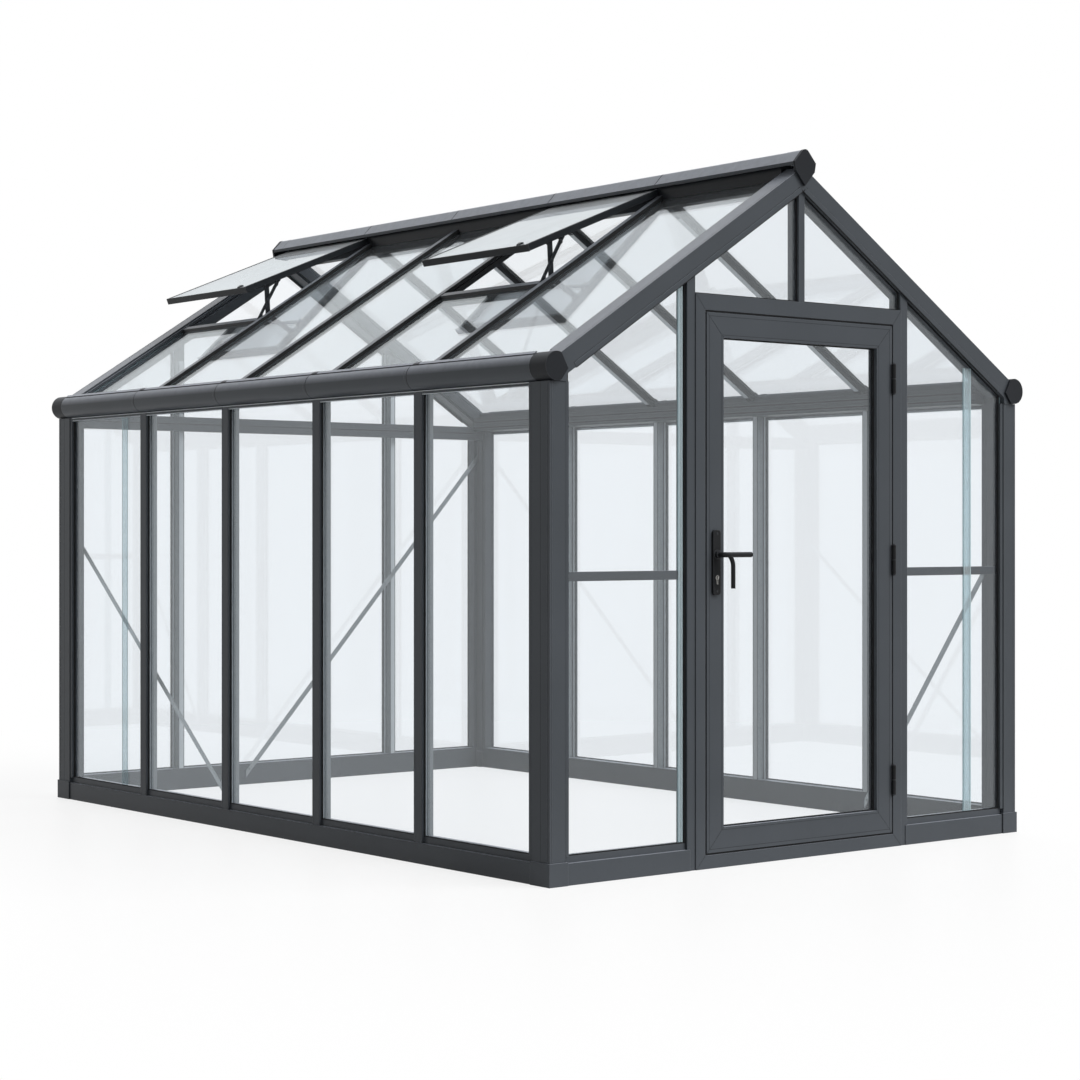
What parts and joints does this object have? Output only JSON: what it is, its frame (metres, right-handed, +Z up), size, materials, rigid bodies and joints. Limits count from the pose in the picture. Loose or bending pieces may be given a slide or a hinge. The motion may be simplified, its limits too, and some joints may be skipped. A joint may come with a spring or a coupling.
{
  "type": "glass greenhouse",
  "caption": "Free-standing glass greenhouse with an anthracite aluminium frame on a low base, a pitched glass roof with open vents, and a hinged glass door with lever handle.",
  "frame": {"origin": "On the ground, in the middle of the base.", "axes": "+Z is up. +Y is along the ridge, from the door gable to the back gable. +X is across the house, to the right of someone facing the door from outside."},
  "size_m": [2.4478, 3.592, 2.5998],
  "materials": {
    "powder_coated_aluminium": "satin",
    "toughened_glass": "gloss",
    "black_nylon": "satin",
    "black_hardware": "satin",
    "mill_aluminium": "satin"
  },
  "bodies": {
    "house": {"back_gable_studs": "powder_coated_aluminium", "back_tie_rail": "powder_coated_aluminium", "base_corner_blocks": "powder_coated_aluminium", "base_rail_back": "powder_coated_aluminium", "base_rail_left": "powder_coated_aluminium", "base_rail_right": "powder_coated_aluminium", "base_rails_front": "powder_coated_aluminium", "corner_posts": "powder_coated_aluminium", "door_head": "powder_coated_aluminium", "door_jambs": "powder_coated_aluminium", "door_posts": "powder_coated_aluminium", "door_sill": "powder_coated_aluminium", "eaves_beams": "powder_coated_aluminium", "front_mid_rails": "powder_coated_aluminium", "gable_centre_stud": "powder_coated_aluminium", "glass_back_gable": "toughened_glass", "glass_front_sides": "toughened_glass", "glass_left_wall": "toughened_glass", "glass_over_door": "toughened_glass", "glass_right_wall": "toughened_glass", "glass_roof_left": "toughened_glass", "glass_roof_right": "toughened_glass", "gutter_end_caps": "black_nylon", "gutter_left": "powder_coated_aluminium", "gutter_right": "powder_coated_aluminium", "hinge_frame_leaves": "black_hardware", "rafters_back": "powder_coated_aluminium", "rafters_front": "powder_coated_aluminium", "ridge_beam": "powder_coated_aluminium", "ridge_cap": "powder_coated_aluminium", "ridge_end_caps": "black_nylon", "roof_bars_left": "powder_coated_aluminium", "roof_bars_right": "powder_coated_aluminium", "vent_glass": "toughened_glass", "vent_rails": "powder_coated_aluminium", "vent_slam_bars": "powder_coated_aluminium", "vent_stay_tracks": "powder_coated_aluminium", "vent_stays": "black_nylon", "vent_stiles": "powder_coated_aluminium", "wall_bars_left": "powder_coated_aluminium", "wall_bars_right": "powder_coated_aluminium", "wind_braces": "mill_aluminium"},
    "door": {"door_stiles": "powder_coated_aluminium", "door_rails": "powder_coated_aluminium", "door_glass": "toughened_glass", "hinge_door_leaves": "black_hardware", "handle_plates": "black_hardware"},
    "handle": {"outer_lever": "black_hardware", "inner_lever": "black_hardware"}
  },
  "joints": [
    {"name": "door_hinge", "type": "hinge", "parent": "house", "child": "door", "pos_m": [0.4815, -1.764, 1], "axis": [0, 0, 1], "range_deg": [0, 105]},
    {"name": "lever_turn", "type": "hinge", "parent": "door", "child": "handle", "pos_m": [-0.437, -1.734, 1.115], "axis": [0, 1, 0], "range_deg": [0, 40], "stiffness_Nm_per_rad": 0.6}
  ]
}
